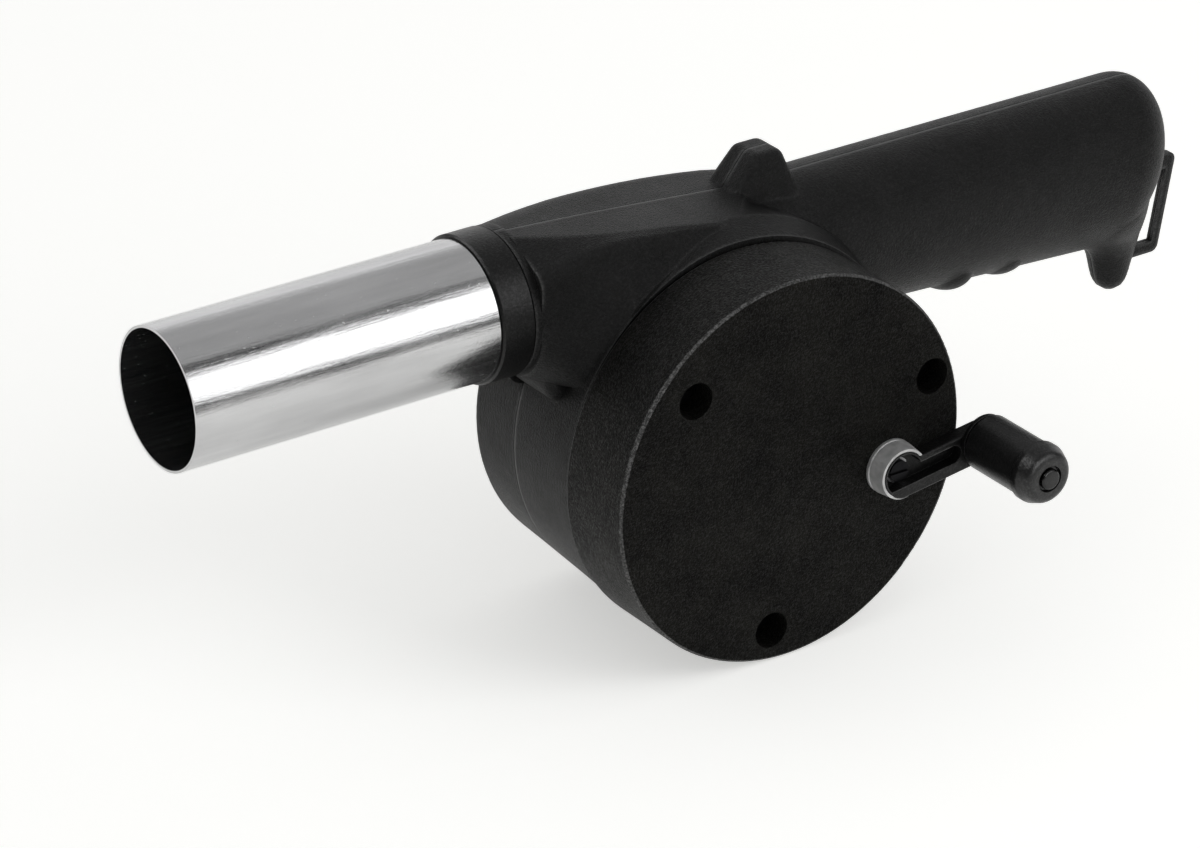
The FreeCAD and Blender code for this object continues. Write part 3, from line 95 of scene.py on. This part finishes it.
# Plastics, each with its darkest and lightest tone, and lengths in metres
PLASTICS = {
    "housing_plastic": {"dark": (0.0025, 0.0025, 0.0025), "light": (0.0070, 0.0070, 0.0069),
                        "rough": 0.44, "shine": 0.16, "edge": 0.0016},
    "cover_plastic": {"dark": (0.0010, 0.0010, 0.0009), "light": (0.0095, 0.0092, 0.0078),
                      "rough": 0.46, "shine": 0.05, "glint": 1.4, "wall_shine": 0.11},
    "collar_plastic": {"dark": (0.0030, 0.0030, 0.0030), "light": (0.0055, 0.0055, 0.0055),
                       "rough": 0.34, "shine": 0.25, "depth": 0.00010},
    "fan_plastic": {"dark": (0.006, 0.006, 0.006), "light": (0.010, 0.010, 0.010),
                    "rough": 0.5, "shine": 0.3},
    "gear_plastic": {"dark": (0.62, 0.60, 0.54), "light": (0.70, 0.68, 0.62),
                     "rough": 0.35, "shine": 0.5, "grain": 1500.0, "depth": 0.00001},
    "arm_plastic": {"dark": (0.0030, 0.0030, 0.0030), "light": (0.0060, 0.0060, 0.0060),
                    "rough": 0.36, "shine": 0.20, "grain": 2200.0, "depth": 0.00010, "edge": 0.0004},
    "knob_plastic": {"dark": (0.0035, 0.0035, 0.0037), "light": (0.0060, 0.0060, 0.0062),
                     "rough": 0.32, "shine": 0.45, "grain": 2600.0, "depth": 0.00008},
}

# Metals, likewise; zinc plating is a little less than fully metallic
METALS = {
    "pinion_brass": {"dark": (0.62, 0.45, 0.18), "light": (0.72, 0.55, 0.26), "rough": 0.28},
    "bush_bronze": {"dark": (0.34, 0.22, 0.11), "light": (0.45, 0.30, 0.15), "rough": 0.42},
    "shaft_steel": {"dark": (0.16, 0.16, 0.165), "light": (0.24, 0.24, 0.245), "rough": 0.26},
    # Screw steel is near black: a dark finish, made darker still to paint the shade in the crank
    # hub's recess
    "screw_steel": {"dark": (0.006, 0.006, 0.007), "light": (0.014, 0.014, 0.015), "rough": 0.34},
    "rivet_metal": {"dark": (0.030, 0.030, 0.030), "light": (0.055, 0.055, 0.055), "rough": 0.25},
    "bush_steel": {"dark": (0.40, 0.40, 0.40), "light": (0.62, 0.62, 0.62), "rough": 0.55,
                   "scale": 1600.0, "depth": 0.00010, "metallic": 0.75},
}

# Sockets of the mix node that hold colours
MIX_FIRST = 6
MIX_SECOND = 7
MIX_RESULT = 2

# Most of a noise texture's values lie in this span
NOISE_SPAN = (0.3, 0.7)
UNIT = (0.0, 1.0)


# Node helpers

def new_material(name):
    material = bpy.data.materials.new(name)
    material.use_nodes = True
    tree = material.node_tree
    return material, tree, tree.nodes["Principled BSDF"]


def add(tree, kind, **values):
    """A new node, with each value put in the socket or the setting of that name."""
    node = tree.nodes.new(kind)
    for key, value in values.items():
        if key in node.inputs:
            node.inputs[key].default_value = value
        else:
            setattr(node, key, value)
    return node


def noise(tree, scale, detail=4.0, roughness=0.55, stretch=(1.0, 1.0, 1.0)):
    """Noise in the model's own metres, stretched along the axes."""
    coords = add(tree, "ShaderNodeTexCoord")
    mapping = add(tree, "ShaderNodeMapping", Scale=stretch)
    texture = add(tree, "ShaderNodeTexNoise", Scale=scale, Detail=detail, Roughness=roughness)
    tree.links.new(coords.outputs["Object"], mapping.inputs["Vector"])
    tree.links.new(mapping.outputs["Vector"], texture.inputs["Vector"])
    return texture.outputs["Fac"]


def spread(tree, source, span, to):
    """The source's values, taken from one span to another and held at its ends."""
    node = add(tree, "ShaderNodeMapRange", **{
        "From Min": span[0], "From Max": span[1], "To Min": to[0], "To Max": to[1]})
    tree.links.new(source, node.inputs["Value"])
    return node.outputs["Result"]


def blend_colors(tree, factor, first, second):
    node = add(tree, "ShaderNodeMix", data_type="RGBA")
    node.inputs[MIX_FIRST].default_value = (*first, 1)
    node.inputs[MIX_SECOND].default_value = (*second, 1)
    tree.links.new(factor, node.inputs[0])
    return node.outputs[MIX_RESULT]


def math_node(tree, operation, *terms):
    """Arithmetic on numbers and sockets."""
    node = add(tree, "ShaderNodeMath", operation=operation)
    for socket, term in zip(node.inputs, terms):
        if isinstance(term, (int, float)):
            socket.default_value = term
        else:
            tree.links.new(term, socket)
    return node.outputs[0]


def mix_of(tree, first, second, share):
    """A share of the first source and the rest of the second."""
    return math_node(tree, "ADD", math_node(tree, "MULTIPLY", first, share),
                     math_node(tree, "MULTIPLY", second, 1.0 - share))


def bump(tree, shader, height, distance, after=None):
    node = add(tree, "ShaderNodeBump", Strength=1.0, Distance=distance)
    tree.links.new(height, node.inputs["Height"])
    if after is not None:
        tree.links.new(after, node.inputs["Normal"])
    tree.links.new(node.outputs["Normal"], shader.inputs["Normal"])
    return node.outputs["Normal"]


# Materials

def moulded(name, dark, light, rough, shine, grain=GRAIN_SCALE, depth=GRAIN_DEPTH, glint=GLINT,
            edge=0.0, wall_shine=0.0):
    """Moulded plastic: eroded grain that glints, mottled tone, uneven gloss and handling marks."""
    material, tree, shader = new_material(name)
    cloud = noise(tree, **PLASTIC_CLOUD)
    fine = noise(tree, grain, detail=3.0, roughness=0.6)
    marks = noise(tree, **PLASTIC_MARKS)
    mottled = spread(tree, mix_of(tree, cloud, fine, 0.5), (0.40, 0.60), UNIT)
    tree.links.new(blend_colors(tree, mottled, dark, light), shader.inputs["Base Color"])
    uneven = spread(tree, cloud, NOISE_SPAN, (rough + GLOSS_SWING, rough - GLOSS_SWING))
    scuffs = spread(tree, marks, (0.58, 0.72), (0.0, SCUFF_GLOSS))
    tree.links.new(math_node(tree, "ADD", uneven, scuffs), shader.inputs["Roughness"])
    rounded = None
    if edge:
        rounded = add(tree, "ShaderNodeBevel", samples=EDGE_SAMPLES, Radius=edge).outputs["Normal"]
        # Rubbed edges shine more, and creases shine less as painted shade
        shine = rubbed_edges_and_crease_shade(tree, rounded, shine)
    if wall_shine:
        shine = rim_shine(tree, shine, wall_shine)
    sparkle = noise(tree, grain * GLINT_TO_GRAIN, detail=2.0, roughness=0.8)
    glints = spread(tree, sparkle, (0.45, 0.68), (1.0 - GLINT_LOSS * glint, 1.0 + glint))
    tree.links.new(math_node(tree, "MULTIPLY", glints, shine), shader.inputs["Specular IOR Level"])
    bump(tree, shader, fine, depth, after=rounded)
    return material


def rubbed_edges_and_crease_shade(tree, rounded, shine):
    """Outer edges, where a hand and a table rub, shine more than the faces. Creases shine less, which
    paints shade into them.
    """
    geometry = add(tree, "ShaderNodeNewGeometry")
    agree = add(tree, "ShaderNodeVectorMath", operation="DOT_PRODUCT")
    tree.links.new(rounded, agree.inputs[0])
    tree.links.new(geometry.outputs["Normal"], agree.inputs[1])
    at_edge = spread(tree, agree.outputs["Value"], (0.99, 0.92), UNIT)
    open_sky = add(tree, "ShaderNodeAmbientOcclusion", samples=EDGE_SAMPLES, Distance=CREASE_REACH)
    outer = spread(tree, open_sky.outputs["AO"], (0.94, 1.0), UNIT)
    rubbed = spread(tree, math_node(tree, "MULTIPLY", at_edge, outer), UNIT, (shine, EDGE_SHINE))
    # Painted shade: the shine drops where nearby surfaces close in, in creases and seams
    painted_crease_shade = spread(tree, open_sky.outputs["AO"], (0.3, 0.8), (CREASE_SHADE_SHINE, 1.0))
    return math_node(tree, "MULTIPLY", rubbed, painted_crease_shade)


def rim_shine(tree, face_shine, wall_shine):
    """The cover's rounded rim shines more than the wall below it, and the wall more than the face."""
    coords = add(tree, "ShaderNodeTexCoord")
    parts = add(tree, "ShaderNodeSeparateXYZ")
    tree.links.new(coords.outputs["Normal"], parts.inputs[0])
    facing = math_node(tree, "ABSOLUTE", parts.outputs["Y"])
    wall_or_rim = spread(tree, facing, (0.10, 0.40), (wall_shine, EDGE_SHINE))
    off_face = spread(tree, facing, (0.995, 0.93), UNIT)
    return math_node(tree, "MAXIMUM", math_node(tree, "MULTIPLY", wall_or_rim, off_face), face_shine)


def steel_tube(name):
    """Bright drawn tube: streaks along it, cloudy patches and fine speckle."""
    material, tree, shader = new_material(name)
    lines = noise(tree, **TUBE_LINES)
    waves = noise(tree, **TUBE_WAVES)
    speckle = noise(tree, **TUBE_SPECKLE)
    patches = mix_of(tree, noise(tree, **TUBE_CLOUD), waves, TUBE_CLOUD_SHARE)
    tone = blend_colors(tree, spread(tree, patches, (0.38, 0.62), UNIT), TUBE_DARK, TUBE_LIGHT)
    tree.links.new(tone, shader.inputs["Base Color"])
    shader.inputs["Metallic"].default_value = 1.0
    shader.inputs["Anisotropic"].default_value = TUBE_BRUSHED
    around = add(tree, "ShaderNodeTangent", direction_type="RADIAL", axis="X")
    tree.links.new(around.outputs["Tangent"], shader.inputs["Tangent"])
    streaks = spread(tree, lines, NOISE_SPAN, TUBE_ROUGH)
    dull = spread(tree, speckle, (0.6, 0.75), (0.0, TUBE_SPECKLE_ROUGH))
    tree.links.new(math_node(tree, "ADD", streaks, dull), shader.inputs["Roughness"])
    wavy = bump(tree, shader, waves, TUBE_WAVE_DEPTH)
    lined = bump(tree, shader, lines, TUBE_LINE_DEPTH, after=wavy)
    bump(tree, shader, speckle, TUBE_SPECKLE_DEPTH, after=lined)
    return material


def metal(name, dark, light, rough, scale=METAL_SCALE, depth=METAL_DEPTH, metallic=1.0):
    """Turned or plated metal with fine tool marks and uneven brightness."""
    material, tree, shader = new_material(name)
    cloud = noise(tree, scale * METAL_CLOUD_TO_MARKS)
    marks = noise(tree, scale, roughness=0.6)
    tone = blend_colors(tree, spread(tree, cloud, NOISE_SPAN, UNIT), dark, light)
    tree.links.new(tone, shader.inputs["Base Color"])
    shader.inputs["Metallic"].default_value = metallic
    uneven = spread(tree, marks, NOISE_SPAN, [rough + swing for swing in METAL_ROUGH_SWING])
    tree.links.new(uneven, shader.inputs["Roughness"])
    bump(tree, shader, marks, depth)
    return material


def make_materials():
    """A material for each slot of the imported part."""
    made = {name: moulded(name, **finish) for name, finish in PLASTICS.items()}
    made.update({name: metal(name, **finish) for name, finish in METALS.items()})
    made["tube_steel"] = steel_tube("tube_steel")
    return made


def dress_nodes(materials):
    """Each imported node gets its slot's material and smooth shading between its sharp edges."""
    slots = {part["node"]: part["material_slot"] for part in frame["record"]["subparts"]}
    for name, node in frame["nodes"].items():
        for place in node.material_slots:
            place.material = materials[slots[name]]
        node.data.shade_smooth()
        node.data.set_sharp_from_angle(angle=math.radians(SMOOTH_ANGLE))


# Stage

def flat_panel(name, corners):
    """One face on the stage, in a matt material that the caller colours."""
    mesh = bpy.data.meshes.new(name)
    mesh.from_pydata(corners, [], [range(len(corners))])
    panel = bpy.data.objects.new(name, mesh)
    bpy.context.scene.collection.objects.link(panel)
    material, tree, shader = new_material(name + "_paint")
    shader.inputs["Roughness"].default_value = MATT
    shader.inputs["Specular IOR Level"].default_value = 0.0
    mesh.materials.append(material)
    return panel, tree, shader


def make_floor():
    reach = FLOOR_REACH
    outline = ((-reach, -reach), (reach, -reach), (reach, reach), (-reach, reach))
    corners = [(x, y, FLOOR_Z) for x, y in outline]
    _, tree, shader = flat_panel("floor", corners)
    patches = spread(tree, noise(tree, FLOOR_PATCH_SCALE), NOISE_SPAN, UNIT)
    darker = [channel * FLOOR_PATCH_TONE for channel in FLOOR_COLOR]
    tree.links.new(blend_colors(tree, patches, FLOOR_COLOR, darker), shader.inputs["Base Color"])
    shader.inputs["Emission Color"].default_value = (*FLOOR_GLOW_COLOR, 1)
    shader.inputs["Emission Strength"].default_value = FLOOR_GLOW


def make_flag():
    """The black panel stands on the floor; it is neither seen nor does it cast a shadow."""
    width, height = FLAG_SIZE
    outline = ((-width / 2, 0), (width / 2, 0), (width / 2, height), (-width / 2, height))
    corners = [(x, 0, z) for x, z in outline]
    flag, tree, shader = flat_panel("flag", corners)
    flag.location = (*FLAG_PLACE, FLOOR_Z)
    flag.rotation_euler = (0.0, 0.0, math.radians(FLAG_TURN))
    weave = noise(tree, FLAG_WEAVE_SCALE)
    tree.links.new(blend_colors(tree, weave, FLAG_DARK, FLAG_LIGHT), shader.inputs["Base Color"])
    flag.visible_camera = False
    flag.visible_diffuse = False
    flag.visible_shadow = False


def softbox(name, place, target, size, brightness, on_matt):
    """A softbox of even brightness, given as the light that leaves it, facing the target."""
    data = bpy.data.lights.new(name, "AREA")
    data.shape = "RECTANGLE"
    data.size, data.size_y = size
    data.energy = POWER_PER_AREA * size[0] * size[1] * brightness
    light = bpy.data.objects.new(name, data)
    light.location = place
    aim = Vector(target) - Vector(place)
    light.rotation_euler = aim.to_track_quat("-Z", "Y").to_euler()
    light.visible_camera = False
    light.visible_diffuse = on_matt
    bpy.context.scene.collection.objects.link(light)


def make_room():
    world = bpy.data.worlds.new("studio")
    world.use_nodes = True
    shade = world.node_tree.nodes["Background"]
    shade.inputs["Color"].default_value = (*ROOM_COLOR, 1)
    shade.inputs["Strength"].default_value = ROOM_STRENGTH
    bpy.context.scene.world = world
    world.cycles_visibility.glossy = False


def make_camera():
    data = bpy.data.cameras.new("camera")
    data.sensor_fit = "HORIZONTAL"
    data.sensor_width = CAMERA_SENSOR
    data.lens = CAMERA_LENS
    data.shift_x = CAMERA_SHIFT_PIXELS / IMAGE_WIDTH
    data.clip_start, data.clip_end = CAMERA_CLIP
    camera = bpy.data.objects.new("camera", data)
    camera.location = CAMERA_PLACE
    camera.rotation_euler = Euler([math.radians(angle) for angle in CAMERA_TURN])
    bpy.context.scene.collection.objects.link(camera)
    bpy.context.scene.camera = camera


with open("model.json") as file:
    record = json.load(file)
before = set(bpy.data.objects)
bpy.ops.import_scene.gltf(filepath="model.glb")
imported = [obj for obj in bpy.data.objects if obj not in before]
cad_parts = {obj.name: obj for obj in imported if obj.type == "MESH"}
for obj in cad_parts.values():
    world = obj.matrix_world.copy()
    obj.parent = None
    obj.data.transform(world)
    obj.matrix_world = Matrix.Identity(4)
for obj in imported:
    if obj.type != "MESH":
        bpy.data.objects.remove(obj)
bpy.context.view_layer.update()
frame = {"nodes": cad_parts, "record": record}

dress_nodes(make_materials())
make_floor()
make_flag()
for values in SOFTBOXES:
    softbox(*values)
make_room()
make_camera()
bpy.context.scene.view_settings.view_transform = "Standard"
